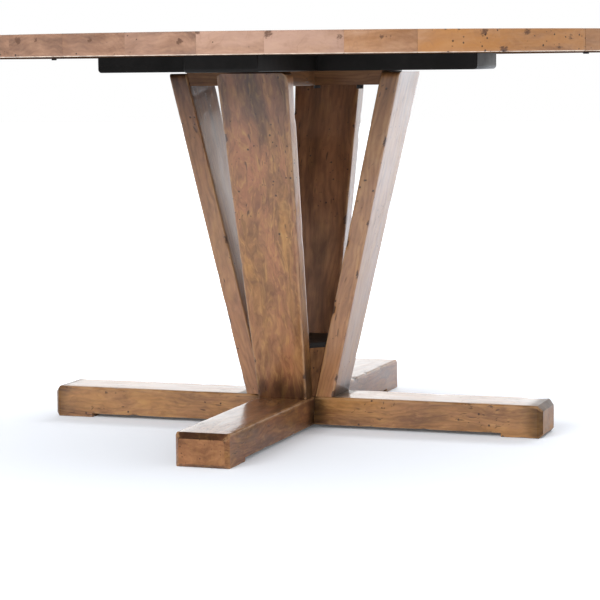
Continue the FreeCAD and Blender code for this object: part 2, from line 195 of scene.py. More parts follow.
baseLook = {
    "stops": [(0.08, (0.033, 0.011, 0.004)), (0.32, (0.099, 0.040, 0.015)), (0.55, (0.191, 0.085, 0.034)),
              (0.76, (0.247, 0.119, 0.051)), (0.95, (0.310, 0.164, 0.073))],
    "gold": (0.330, 0.155, 0.042),
    "rose": (0.300, 0.120, 0.056),
    "fleck": (0.409, 0.224, 0.068),
    "worn": (0.330, 0.182, 0.083),
    "bared": (0.330, 0.182, 0.083),
    "ringGap": 0.0036,
    "ringWeight": 0.08,
    "lineShade": 0.94,
    "wander": ((5.0, 15.0, 15.0), 3.0, 0.55),
    "swirl": 0.040,
    "clouds": {
        "cloud": ((8.0, 26.0, 34.0), 4.0, 0.6),
        "sideStreak": ((10.0, 130.0, 130.0), 4.0, 0.62),
        "endStreak": ((10.0, 24.0, 140.0), 3.0, 0.6),
        "flame": ((7.0, 22.0, 26.0), 3.0, 0.55),
    },
    "holes": 0.11,
    "marks": 0.26,
    "roughness": (0.30, 0.46),
    "gloss": 0.40,
    "coat": 0.66,
    "coatRoughness": 0.12,
}

# What the two woods share. A span holds the two values it runs between, then what it gives at each of them.
grainSet = {
    "swirlGain": 2.2,
    "curl": ((20.0, 42.0, 42.0), 2.0, 0.55),
    "curlSpan": (0.0, 1.0, 0.003, 0.018),
    "clouds": {
        "figure": ((14.0, 32.0, 32.0), 2.0, 0.5),
        "blotch": ((5.0, 20.0, 20.0), 2.0, 0.55),
        "fleck": ((20.0, 46.0, 46.0), 4.0, 0.58),
        "speck": ((60.0, 230.0, 230.0), 3.0, 0.55),
        "smear": ((150.0, 150.0, 220.0), 3.0, 0.7),
    },
    "fibre": ((22.0, 560.0, 560.0), 2.0, 0.55),
    "patch": ((30.0, 60.0, 60.0), 3.0, 0.55),
    "cluster": ((7.0, 7.0, 7.0), 2.0, 0.55),
    "clusterSpan": (0.46, 0.64),
    "figureWaves": 8.0,
    "heartDepth": 0.03,
    "ringSpan": (0.0, 0.75),
    "ringOnEnd": (0.0, 1.0, 1.0, 0.25),
    "depth": {"cloud": 1.10, "streak": 0.60, "fibre": 0.16, "boardShade": 0.14},
    "depthMiddle": 0.395,
    "ringMiddle": 0.62,
    "blotchLean": 5.5,
    "goldFlame": (0.34, 0.62, 0.45, 1.0),
    "goldTone": (-0.3, 1.0, 0.0, 0.90),
    "roseFlame": (0.66, 0.38, 0.45, 1.0),
    "roseTone": (0.3, -1.0, 0.0, 0.85),
    "crestFleck": (0.53, 0.74),
    "crestWave": (0.50, 1.0),
    "crestAlong": (0.40, 0.66),
    "crestBurl": (0.0, 1.0, 0.10, 0.48),
    "hollowFleck": (0.46, 0.28),
    "hollowWave": (0.35, 0.0),
    "hollowAlong": (0.58, 0.42),
    "hollowBurl": (0.0, 1.0, 0.25, 0.46),
    "paleSpeck": (0.54, 0.72, 0.0, 0.42),
    "darkSpeck": (0.46, 0.28, 0.0, 0.42),
    "lines": {"ring": 0.5, "streak": 1.0},
    "lineSpan": (0.35, 1.05),
    "linePale": 1.05,
    "linesOnEnd": (0.0, 1.0, 1.0, 0.1),
    # darkens the colour by boardShade, painted shade included
    "darkBoardAndShadeSpan": (-4.0, -0.6, 0.40, 1.0),
    "wornEdge": (0.5, 1.1),
    "wornPatch": (0.36, 0.62, 0.05, 0.65),
    # the top's lowest arris: a painted highlight over the wear
    "baredEdge": (1.05, 1.25),
    "baredPatch": (0.36, 0.62, 0.45, 0.95),
    "hole": (150.0, 150.0, 150.0),
    "holeSize": (0.0, 1.0, 0.20, 0.42),
    "holeRim": (1.0, 0.55),
    "holeDepth": 0.92,
    "holeColour": (0.030, 0.012, 0.006),
    "scratch": (27.0, 200.0, 180.0),
    "scratchRim": (0.32, 0.16),
    "scratchDepth": 0.8,
    "cut": (36.0, 280.0, 280.0),
    "cutRim": (0.32, 0.14),
    "cutTurn": (0.0, 0.8, 0.15),
    "cutShare": 0.3,
    "smearWeight": 1.6,
    "stainSpan": (1.22, 1.56),
    "stainDepth": 0.85,
    "shineSpan": (0.3, 0.7),
    # the lacquer thins where the painted shade lies
    "lacquerSpan": (-2.8, -1.4),
    "lacquerLeft": 0.12,
    "relief": {"fibre": 0.20, "streak": 0.25, "cloud": 0.8, "dark": -1.5, "stain": -0.3},
    "bump": (0.28, 0.0012),
}


def deeper(look, share):
    # The same wood, stained darker
    darker = dict(look)
    for key in ("gold", "rose", "fleck", "worn", "bared"):
        darker[key] = tuple(share * part for part in look[key])
    darker["stops"] = [(position, tuple(share * part for part in colour))
                       for position, colour in look["stops"]]
    return darker


def graded(tree, value, span, *ends):
    return remap(tree, value, *grainSet[span], *ends)


def weighed(tree, wood, weights):
    total = None
    for key, weight in weights.items():
        part = times(tree, wood[key], weight)
        total = part if total is None else maths(tree, "ADD", total, part)
    return total


def boardSpace(tree, grain):
    # Along, across and through the board: kept on the mesh, or from the table's own axes
    if grain == "made":
        return addNode(tree, "Attribute", attribute_name="boardPlace").outputs["Vector"]
    turns = {"x": (0, 0, 0), "y": (0, 0, math.radians(-90)), "z": (0, math.radians(90), 0)}
    place = addNode(tree, "TexCoord").outputs["Object"]
    return addNode(tree, "Mapping", {"Vector": place, "Rotation": turns[grain]}).outputs[0]


def growthRings(tree, look, wood):
    heart = vectorMaths(tree, "ADD", wood["bent"], (0.0, 0.0, grainSet["heartDepth"]))
    heart = vectorMaths(tree, "MULTIPLY", heart, (0.0, 1.0, 1.0))
    radius = addNode(tree, "VectorMath", {0: heart}, operation="LENGTH").outputs["Value"]
    rings = maths(tree, "PINGPONG", maths(tree, "DIVIDE", radius, look["ringGap"]), 1.0)
    return times(tree, graded(tree, rings, "ringSpan"), graded(tree, wood["boardEnd"], "ringOnEnd"))


def woodLayers(tree, look, wood):
    # The grain wanders, most where it swirls, and every layer follows the bent board
    burl = wood["boardBurl"]
    swirl = remap(tree, burl, 0.0, 1.0, look["swirl"], grainSet["swirlGain"] * look["swirl"])
    wood["bent"] = pushed(tree, wood["place"], look["wander"], swirl)
    curled = pushed(tree, wood["bent"], grainSet["curl"], graded(tree, burl, "curlSpan"))
    for key, settings in {**look["clouds"], **grainSet["clouds"]}.items():
        wood[key] = clouds(tree, curled, *settings)["Fac"]
    wood["fibre"] = clouds(tree, wood["bent"], *grainSet["fibre"])["Fac"]
    wood["streak"] = mixValue(tree, wood["boardEnd"], wood["sideStreak"], wood["endStreak"])
    wood["wave"] = maths(tree, "PINGPONG", times(tree, wood["figure"], grainSet["figureWaves"]), 1.0)
    wood["ring"] = growthRings(tree, look, wood)


def stainedGrain(tree, look, wood):
    depth = weighed(tree, wood, {**grainSet["depth"], "ring": look["ringWeight"]})
    middle = grainSet["depthMiddle"] + grainSet["ringMiddle"] * look["ringWeight"]
    return colourRamp(tree, maths(tree, "SUBTRACT", depth, middle), look["stops"])


def leaning(tree, look, wood, colour):
    # Each board leans to golden or rosy wood, more so in flames, and in blotches where it swirls
    lean = maths(tree, "SUBTRACT", wood["blotch"], 0.5)
    lean = times(tree, lean, times(tree, wood["boardBurl"], grainSet["blotchLean"]))
    tone = maths(tree, "ADD", wood["boardTone"], lean)
    for tint in ("gold", "rose"):
        flame = graded(tree, wood["flame"], tint + "Flame")
        amount = times(tree, flame, graded(tree, tone, tint + "Tone"))
        colour = mixColour(tree, amount, colour, look[tint])
    return colour


def burlFigure(tree, look, wood, colour):
    # Pale crests, dark hollows and fine specks of both
    burl, fleck = wood["boardBurl"], wood["fleck"]
    pale, dark = look["fleck"], look["stops"][1][1]
    for kind, along, tint in (("crest", wood["sideStreak"], pale), ("hollow", fleck, dark)):
        ridge = graded(tree, wood["wave"], kind + "Wave")
        ridge = times(tree, ridge, graded(tree, along, kind + "Along"))
        ridge = maths(tree, "MAXIMUM", graded(tree, fleck, kind + "Fleck"), ridge)
        colour = mixColour(tree, times(tree, ridge, graded(tree, burl, kind + "Burl")), colour, tint)
    for kind, tint in (("paleSpeck", pale), ("darkSpeck", dark)):
        speck = times(tree, graded(tree, wood["speck"], kind), burl)
        colour = mixColour(tree, speck, colour, tint)
    return colour


def grainLines(tree, look, wood, colour):
    # Grain lines show through every tint, less so on a sawn end
    lines = weighed(tree, wood, grainSet["lines"])
    lines = graded(tree, lines, "lineSpan", look["lineShade"], grainSet["linePale"])
    return mixColour(tree, graded(tree, wood["boardEnd"], "linesOnEnd"), colour, lines, "MULTIPLY")


def wornAndShadedWood(tree, look, wood, colour):
    # The colour is darkest where the board is dark or carries painted shade, and the arrises are worn paler
    # in patches, the top's lowest arris paler still as a painted highlight
    colour = mixColour(tree, 1.0, colour, graded(tree, wood["boardShade"], "darkBoardAndShadeSpan"), "MULTIPLY")
    patch = clouds(tree, wood["place"], *grainSet["patch"])["Fac"]
    for wear in ("worn", "bared"):
        edge = graded(tree, wood["boardEdge"], wear + "Edge")
        amount = times(tree, edge, graded(tree, patch, wear + "Patch"))
        colour = mixColour(tree, amount, colour, look[wear])
    return colour


def thinMarks(tree, place, kind, share):
    # Long thin cells, of which a share is marked
    gap, picks = cells(tree, place, grainSet[kind])
    return times(tree, graded(tree, gap, kind + "Rim"), maths(tree, "LESS_THAN", picks[1], share))


def darkMarks(tree, look, wood):
    # Worm holes in clusters, scratches along the grain and slanting cuts, filled dark by the stain
    cluster = graded(tree, clouds(tree, wood["place"], *grainSet["cluster"])["Fac"], "clusterSpan")
    wormy = maths(tree, "ADD", times(tree, cluster, look["holes"]), wood["boardWorm"])
    gap, picks = cells(tree, wood["place"], grainSet["hole"])
    hole = maths(tree, "DIVIDE", gap, graded(tree, picks[1], "holeSize"))
    hole = times(tree, graded(tree, hole, "holeRim"), maths(tree, "LESS_THAN", picks[0], wormy))
    scratch = thinMarks(tree, wood["bent"], "scratch", times(tree, cluster, look["marks"]))
    slant = addNode(tree, "Mapping", {"Vector": wood["bent"], "Rotation": grainSet["cutTurn"]}).outputs[0]
    cut = thinMarks(tree, slant, "cut", times(tree, cluster, grainSet["cutShare"] * look["marks"]))
    thin = times(tree, maths(tree, "MAXIMUM", scratch, cut), grainSet["scratchDepth"])
    return maths(tree, "MAXIMUM", hole, thin)


def woodMaterial(name, look, grain):
    material, tree = startMaterial(name)
    wood = {mark: addNode(tree, "Attribute", attribute_name=mark).outputs["Fac"] for mark in markNames}
    wood["place"] = boardSpace(tree, grain)
    woodLayers(tree, look, wood)
    colour = stainedGrain(tree, look, wood)
    for stage in (leaning, burlFigure, grainLines, wornAndShadedWood):
        colour = stage(tree, look, wood, colour)
    stain = maths(tree, "ADD", wood["boardStain"], times(tree, wood["smear"], grainSet["smearWeight"]))
    wood["stain"] = graded(tree, stain, "stainSpan")
    wood["dark"] = darkMarks(tree, look, wood)
    stain = times(tree, wood["stain"], grainSet["stainDepth"])
    colour = mixColour(tree, stain, colour, look["stops"][0][1])
    dark = times(tree, wood["dark"], grainSet["holeDepth"])
    colour = mixColour(tree, dark, colour, grainSet["holeColour"])

    lacquer = look["coat"]
    if lacquer and grain == "made":
        # Thinned where boardShade is lowest, mostly where painted shade lies, so those places reflect less
        thin = grainSet["lacquerLeft"] * lacquer
        lacquer = graded(tree, wood["boardShade"], "lacquerSpan", thin, lacquer)
    shine = graded(tree, wood["cloud"], "shineSpan", *look["roughness"])
    bump = bumpFrom(tree, weighed(tree, wood, grainSet["relief"]), *grainSet["bump"])
    endMaterial(tree, addNode(tree, "BsdfPrincipled", {
        "Base Color": colour, "Roughness": shine, "Normal": bump, "Coat Normal": bump,
        "Specular IOR Level": look["gloss"], "Coat Weight": lacquer,
        "Coat Roughness": look["coatRoughness"]}))
    return material


# Paint and plating, rubbed paler in places
steelGrime = ((160.0, 160.0, 160.0), 4.0, 0.6)
coverLooks = {
    "blackPaint": {
        "colour": (0.010, 0.009, 0.008), "rubbed": (0.017, 0.015, 0.014), "rubbedSpan": (0.35, 0.75),
        "rub": ((14.0, 14.0, 14.0), 5.0, 0.65), "brush": ((40.0, 40.0, 160.0), 4.0, 0.55),
        "bump": (0.12, 0.0006), "roughness": (0.36, 0.50), "metallic": 0.0, "gloss": 0.12},
    "blackSteel": {
        "colour": (0.006, 0.006, 0.006), "rubbed": (0.014, 0.014, 0.015), "rubbedSpan": (0.35, 0.7),
        "rub": steelGrime, "brush": steelGrime, "bump": (0.15, 0.0003), "roughness": (0.49, 0.65),
        "metallic": 0.2, "gloss": 0.5},
    "zincSteel": {
        "colour": (0.42, 0.42, 0.40), "rubbed": (0.62, 0.61, 0.57), "rubbedSpan": (0.35, 0.7),
        "rub": steelGrime, "brush": steelGrime, "bump": (0.15, 0.0003), "roughness": (0.28, 0.44),
        "metallic": 1.0, "gloss": 0.5},
}


def coverMaterial(name):
    look = coverLooks[name]
    material, tree = startMaterial(name)
    place = addNode(tree, "TexCoord").outputs["Object"]
    rub = clouds(tree, place, *look["rub"])["Fac"]
    brush = clouds(tree, place, *look["brush"])["Fac"]
    rubbed = remap(tree, rub, *look["rubbedSpan"])
    endMaterial(tree, addNode(tree, "BsdfPrincipled", {
        "Base Color": mixColour(tree, rubbed, look["colour"], look["rubbed"]),
        "Roughness": graded(tree, rub, "shineSpan", *look["roughness"]),
        "Normal": bumpFrom(tree, brush, *look["bump"]),
        "Metallic": look["metallic"], "Specular IOR Level": look["gloss"]}))
    return material


rawLook = dict(deeper(topLook, 0.28), gloss=0.0, coat=0.0, roughness=(0.85, 0.95))
footLook = dict(baseLook, holes=0.18, marks=0.50)
dullLook = dict(baseLook, holes=0.05, marks=0.15, gloss=0.25, coat=0.08)
railLook = dict(deeper(baseLook, 0.64), gloss=0.25, coat=0.2)
blockLook = dict(deeper(baseLook, 0.62), gloss=0.1, coat=0.0)
topWood = woodMaterial("topWood", topLook, "made")
rawWood = woodMaterial("rawWood", rawLook, "made")
legWood = woodMaterial("legWood", baseLook, "made")
footWood = woodMaterial("footWood", footLook, "made")
dullWood = woodMaterial("dullWood", dullLook, "made")
railWoodX = woodMaterial("railWoodX", railLook, "x")
railWoodY = woodMaterial("railWoodY", railLook, "y")
blockWood = woodMaterial("blockWood", blockLook, "z")
blackPaint, blackSteel, zincSteel = (coverMaterial(name) for name in coverLooks)
print("finishes ready")

# CAD pieces that stay as they are: their finish, the softness of their edges in metres, and which they are
finishes = (
    (blockWood, 0.0010, ("core_block",)),
    (blackPaint, 0.0008, ("core_cap",)),
    (blackPaint, 0.0010, ("cross_bar_side", "cross_bar_front")),
    (railWoodX, 0.0012, ("top_rail_side",)),
    (railWoodY, 0.0012, ("top_rail_front",)),
    (railWoodX, 0.0, ("core_dowels", "rail_tenons")),
    (railWoodY, 0.0, ("plank_splines",)),
    (blackSteel, 0.0004, ("rail_bolts", "stiffener_strip", "stiffener_bolts")),
    (blackSteel, 0.0, ("leg_bolts", "core_bolt", "bar_screws")),
    (zincSteel, 0.0, ("leg_bolt_washers", "core_bolt_washer", "bar_inserts", "leg_inserts", "core_insert")),
)
softSet = {"weldGap": 0.00002, "flatDegrees": 0.5, "cornerDegrees": 28, "segments": 2}


def finishNode(name, material, softness):
    piece = nodes[name]
    piece.data.materials.clear()
    piece.data.materials.append(material)
    if softness:
        weld = piece.modifiers.new("weld", "WELD")
        weld.merge_threshold = softSet["weldGap"]
        flat = piece.modifiers.new("flat", "DECIMATE")
        flat.decimate_type = "DISSOLVE"
        flat.angle_limit = math.radians(softSet["flatDegrees"])
        soft = piece.modifiers.new("soft", "BEVEL")
        soft.width = softness
        soft.segments = softSet["segments"]
        soft.limit_method = "ANGLE"
        soft.angle_limit = math.radians(softSet["cornerDegrees"])
        soft.harden_normals = True


for material, softness, names in finishes:
    for nodeName in names:
        finishNode(nodeName, material, softness)
print("plain pieces finished")


# Worn boards: closed rings of points joined by quads, with what the finish needs kept at each point
tiny = 0.0004    # places closer than this, in metres, count as one
sharpAngle = math.radians(32)
wearSet = {"waves": 14.0, "nicks": 40.0, "nickFrom": 0.22, "nickSeed": 3.7, "onFaces": 0.12}


def startBoard():
    return {"points": [], "places": [], "faces": [], "dull": [], "marks": {name: [] for name in markNames}}


def keep(board, point, place, **marks):
    board["points"].append(point)
    board["places"].append(place)
    for name in markNames:
        board["marks"][name].append(marks.get(name, 0.0))
    return len(board["points"]) - 1


def bridge(board, count, first, second):
    for i in range(count):
        j = (i + 1) % count
        board["faces"].append((first + i, first + j, second + j, second + i))


def cutFrom(chance, spans):
    # Where in the grain a board was cut: along, across and through
    return Vector([chance.uniform(*span) for span in spans])


def fadeOut(distance, reach):
    return math.exp(-(distance / reach) ** 2)


def hum(place, perMetre, seed=0.0):
    x, y, z = place
    return noise.noise(Vector((x * perMetre + seed, y * perMetre - seed, z * perMetre + 2 * seed)))


def nickAt(place, seed):
    return max(0.0, hum(place, wearSet["nicks"], seed + wearSet["nickSeed"]) - wearSet["nickFrom"])


def wearAt(place, settings, edge, seed):
    # How far a point is worn in: a slow wave everywhere, and nicks that are deepest along the arrises
    wave = settings["wave"] * (0.5 + 0.5 * hum(place, wearSet["waves"], seed))
    return wave + settings["dent"] * nickAt(place, seed) * (wearSet["onFaces"] + edge)


def finishBoard(name, node, board, materials):
    mesh = bpy.data.meshes.new(name)
    mesh.from_pydata(board["points"], [], board["faces"])
    mesh.update()
    place = mesh.attributes.new("boardPlace", "FLOAT_VECTOR", "POINT")
    place.data.foreach_set("vector", [part for where in board["places"] for part in where])
    for key, values in board["marks"].items():
        mesh.attributes.new(key, "FLOAT", "POINT").data.foreach_set("value", values)
    mesh.shade_smooth()
    mesh.set_sharp_from_angle(angle=sharpAngle)
    for material in materials:
        mesh.materials.append(material)
    for index in board["dull"]:
        mesh.polygons[index].material_index = 1
    piece = bpy.data.objects.new(name, mesh)
    scene.collection.objects.link(piece)
    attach(piece, "root")
    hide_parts(node)
    return piece


def between(first, last, steps):
    # Points along a straight side, without its ends
    (x, y), (lastX, lastY) = first[:2], last[:2]
    return [(x + (lastX - x) * step / steps, y + (lastY - y) * step / steps, 0.0)
            for step in range(1, steps)]


def roundedLoop(low, high, lowRound, highRound, steps, roundSteps):
    # A level or upright ring: right side, top, left side, bottom. The last number is one on a corner.
    (left, bottom), (right, top) = low, high
    corners = [(right, bottom, lowRound, 270), (right, top, highRound, 0), (left, top, highRound, 90),
               (left, bottom, lowRound, 180)]
    loop = []
    for index, (x, y, soft, start) in enumerate(corners):
        centreX = x - soft if x == right else x + soft
        centreY = y + soft if y == bottom else y - soft
        arc = []
        for step in range(roundSteps + 1):
            angle = math.radians(start + 90 * step / roundSteps)
            arc.append((centreX + soft * math.cos(angle), centreY + soft * math.sin(angle), 1.0))
        if loop:
            loop += between(loop[-1], arc[0], steps[(index + 1) % 2])
        loop += arc
    return loop + between(loop[-1], loop[0], steps[1])


# Planks of the top, from the left board to the right. Tone runs from rosy to golden, shade from dark to pale.
# Stains lie on the front rim: metres to the right, height up the edge as a share, size, strength.
# Worms: metres to the right, how far they spread, how many.
plankSet = {
    "tone": [0.2, -0.4, 0.4, -0.2, -0.1, -0.15, -0.2, -0.35, -0.7, -0.75, 0.3, 0.95, 0.75, 0.4],
    "shade": [-0.3, 0.2, -0.6, 0.1, -1.1, -1.3, -1.2, -0.9, 0.1, 0.4, 1.0, 0.9, 0.0, -0.2],
    "stains": [(-0.225, 0.75, 0.009, 1.0), (-0.187, 0.75, 0.005, 0.9), (-0.080, 0.70, 0.006, 0.9),
               (0.078, 0.60, 0.006, 1.1), (0.108, 0.97, 0.005, 1.0), (0.219, 0.88, 0.009, 0.9),
               (0.326, 0.70, 0.007, 0.8), (0.386, 0.70, 0.005, 1.0), (0.397, 0.65, 0.004, 0.8),
               (0.528, 0.85, 0.007, 1.1), (0.553, 0.12, 0.006, 1.1), (0.584, 0.85, 0.006, 1.0),
               (0.625, 0.20, 0.005, 0.9), (0.640, 0.60, 0.006, 0.8)],
    "worms": [(0.530, 0.035, 0.40), (0.610, 0.060, 0.20), (0.130, 0.040, 0.10), (-0.190, 0.080, 0.08)],
    "backWorms": 0.02,
    "straySpots": 3,
    "straySize": (0.006, 0.014),
    "strayStrength": (0.6, 1.1),
    "strayReach": 0.8,
    "strayLength": 3,
    "straySeed": 100,
    "acrossSteps": 30,
    "alongSteps": 64,
    "edgeRound": 0.0022,
    "roundSteps": 3,
    # the lower arris: worn, and given a painted highlight
    "lowWearAndSheen": 1.3,
    "highWear": 0.6,
    "seamWear": 0.4,
    "seamRound": 0.0011,
    "sideSteps": 7,
    "tipDegrees": 1.2,
    "wave": 0.0006,
    "dent": 0.0026,
    "hollow": 0.0005,
    "hollowWaves": (24.0, 6.0),
    "shortfall": 0.0006,
    "cutFrom": ((0, 40), (-0.03, 0.03), (0.0, 0.06)),
    "seed": 11,
}


def plankProfile(low, high):
    # Heights up the side, with the share of the rounding drawn in at each
    soft, roundSteps, sideSteps = (plankSet[key] for key in ("edgeRound", "roundSteps", "sideSteps"))
    quarter = [math.radians(90 * step / roundSteps) for step in range(roundSteps + 1)]
    rows = [(low + soft * (1 - math.cos(angle)), 1 - math.sin(angle)) for angle in quarter]
    for step in range(1, sideSteps):
        rows.append((low + soft + (high - low - 2 * soft) * step / sideSteps, 0.0))
    rows += [(high - soft * (1 - math.sin(angle)), 1 - math.cos(angle)) for angle in quarter]
    return rows


def plankSpots(number, left, right, radius, thick):
    # Stains by face: metres to the right, metres up an end or along a face, their two sizes, strength
    front = [(x, share * thick, size, size, strength) for x, share, size, strength in plankSet["stains"]]
    spots = {"front": front, "back": [], "face": []}
    chance = random.Random(plankSet["straySeed"] + number)
    for _ in range(plankSet["straySpots"]):
        x = chance.uniform(left, right)
        size = chance.uniform(*plankSet["straySize"])
        rise = chance.random() * thick
        spots["back"].append((x, rise, size, size, chance.uniform(*plankSet["strayStrength"])))
        reach = plankSet["strayReach"] * math.sqrt(max(radius * radius - x * x, 0.0))
        y = chance.uniform(-reach, reach)
        length = plankSet["strayLength"] * size
        spots["face"].append((x, y, size, length, chance.uniform(*plankSet["strayStrength"])))
    return spots


def stainAt(spots, x, rise):
    stains = [strength * fadeOut(x - spotX, across) * fadeOut(rise - spotRise, along)
              for spotX, spotRise, across, along, strength in spots]
    return max(stains, default=0.0)


def makePlank(name, number, radius):
    low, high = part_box(name)
    left, right = low.x, high.x
    isFirst, isLast = left < -radius + tiny, right > radius - tiny
    tip = radius * math.cos(math.radians(plankSet["tipDegrees"]))    # outermost boards stop before a point
    across, along = plankSet["acrossSteps"], plankSet["alongSteps"]
    chance = random.Random(plankSet["seed"] + number)
    short = chance.uniform(0.0, plankSet["shortfall"])
    offset = cutFrom(chance, plankSet["cutFrom"])
    spots = plankSpots(number, left, right, radius, high.z - low.z)
    board = startBoard()
    looks = {"boardTone": plankSet["tone"][number], "boardShade": plankSet["shade"][number]}

    def inBoard(point):
        return (point.y + offset.x, point.x - (left + right) / 2 + offset.y, point.z - low.z + offset.z)

    def rimPoint(x, side, z, drawIn):
        # A point of the curved end, drawn in by rounding and wear
        bare = Vector((x, side * math.sqrt(max(radius * radius - x * x, 0.0)), z))
        outward = Vector((bare.x, bare.y, 0)).normalized()
        wear = wearAt(bare, plankSet, drawIn, number)
        return bare - outward * (drawIn * plankSet["edgeRound"] + short + wear)

    def addRow(z, drawIn):
        # Front end, right seam, back end, left seam
        isLow = z < (low.z + high.z) / 2
        lowX = -tip if isFirst else left + drawIn * plankSet["seamRound"]
        highX = tip if isLast else right - drawIn * plankSet["seamRound"]
        ends = [lowX + (highX - lowX) * i / across for i in range(across + 1)]
        # The lower arris gets the wear and a painted highlight
        edge = plankSet["lowWearAndSheen"] if isLow and drawIn > 0 else plankSet["highWear"] * drawIn

        def addEnd(xs, side):
            for x in xs:
                point = rimPoint(x, side, z, drawIn)
                worms = plankSet["backWorms"]
                if side < 0:
                    worms = max(count * fadeOut(x - where, wide) for where, wide, count in plankSet["worms"])
                stain = stainAt(spots["front" if side < 0 else "back"], x, z - low.z)
                keep(board, point, inBoard(point), boardEdge=edge, boardEnd=1.0, boardWorm=worms,
                     boardStain=stain, **looks)

        def addSeam(first, last):
            for j in range(1, along):
                point = first.lerp(last, j / along)
                keep(board, point, inBoard(point), boardEdge=plankSet["seamWear"] * drawIn, **looks)

        front = [rimPoint(x, -1, z, drawIn) for x in (lowX, highX)]
        back = [rimPoint(x, 1, z, drawIn) for x in (lowX, highX)]
        start = len(board["points"])
        addEnd(ends, -1)
        addSeam(front[1], back[1])
        addEnd(ends[::-1], 1)
        addSeam(back[0], front[0])
        return start

    starts = [addRow(z, drawIn) for z, drawIn in plankProfile(low.z, high.z)]
    rightSeam = [] if isLast else list(range(across, across + along))
    leftSeam = [] if isFirst else list(range(2 * across + along, 2 * (across + along)))
    for first, second in zip(starts, starts[1:]):
        board["dull"] += [len(board["faces"]) + i for i in rightSeam + leftSeam]
        bridge(board, 2 * (across + along), first, second)

    def addFace(start, upward):
        # A grid from the front end to the back end, slightly hollow from wear
        def border(i, j):
            if j == 0:
                return start + i
            if i == across:
                return start + across + j
            if j == along:
                return start + across + along + (across - i)
            return start + 2 * across + along + (along - j)

        def inside(i, j):
            point = board["points"][border(i, 0)].lerp(board["points"][border(i, along)], j / along)
            acrossWaves, alongWaves = plankSet["hollowWaves"]
            wave = hum((acrossWaves * point.x, alongWaves * point.y, alongWaves * number), 1.0)
            wear = plankSet["hollow"] * (0.5 + 0.5 * wave)
            point.z += -wear if upward else wear
            stain = stainAt(spots["face"], point.x, point.y)
            return keep(board, point, inBoard(point), boardStain=stain, **looks)

        grid = [[border(i, j) if i in (0, across) or j in (0, along) else inside(i, j)
                 for j in range(along + 1)] for i in range(across + 1)]
        for i in range(across):
            for j in range(along):
                quad = (grid[i][j], grid[i + 1][j], grid[i + 1][j + 1], grid[i][j + 1])
                if not upward:
                    board["dull"].append(len(board["faces"]))
                board["faces"].append(quad if upward else quad[::-1])

    addFace(starts[-1], True)
    addFace(starts[0], False)
    finishBoard("worn_" + name, name, board, (topWood, rawWood))


plankNames = sorted(name for name in nodes if name.startswith("top_plank"))
for number, plankName in enumerate(plankNames):
    makePlank(plankName, number, cadHigh.x)
print("top laid from", len(plankNames), "boards")

# Legs, each a leaning board that tapers to its foot. Painted shade darkens the colour at the foot and under
# the top.
legNames = ("leg_right", "leg_back", "leg_left", "leg_front")
legSet = {
    "each": {    # in the order of the names
        "turn": (0, 90, 180, 270),
        "tone": (0.0, -0.2, -0.2, -0.35),
        "shade": (1.7, -1.0, 0.8, 0.0),
        "burl": (0.25, 0.1, 0.3, 1.1),
        # from here: painted shade at the foot and under the top, painted light and painted shade on the front
        # leg's right side, painted shade low on the outer face
        "footPaintedShade": (0.9, 0.5, 0.6, 4.0),
        "topPaintedShade": (2.6, 0.6, 3.4, 2.4),
        "topPaintedShadeDrop": (0.055, 0.05, 0.065, 0.11),
        "sidePaintedLight": (0.0, 0.0, 0.0, 2.6),
        "sidePaintedShade": (0.0, 0.0, 0.0, 3.4),
        "outPaintedShade": (4.3, 2.0, 2.0, 0.0),
    },
    "burlHeight": 0.40,
    "burlReach": 0.19,
    "burlLeast": 0.45,
    # how far the painted shade reaches up from the foot, up the front leg's side and up the outer face
    "footPaintedShadeRise": 0.045,
    "sidePaintedShadeRise": 0.14,
    "outPaintedShadeRise": 0.028,
    "topRound": 0.009,
    "topSteps": 6,
    "edgeRound": 0.0026,
    "steps": (18, 8),
    "roundSteps": 4,
    "heightSteps": 100,
    "wave": 0.0004,
    "dent": 0.0030,
    "nickStain": 2.2,
    "cutFrom": ((0, 40), (-0.03, 0.03), (0.02, 0.07)),
    "seed": 5,
}


def legSizes():
    # Inner and outer reach and half width at the foot and at the top, from the right-hand leg
    low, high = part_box("leg_right")
    foot = [vertex.co for vertex in nodes["leg_right"].data.vertices if vertex.co.z < low.z + tiny]
    footIn, footOut = min(place.x for place in foot), max(place.x for place in foot)
    footHalf = max(place.y for place in foot)
    return low.z, high.z, (footIn, footOut, footHalf), (footIn + high.x - footOut, high.x, high.y)


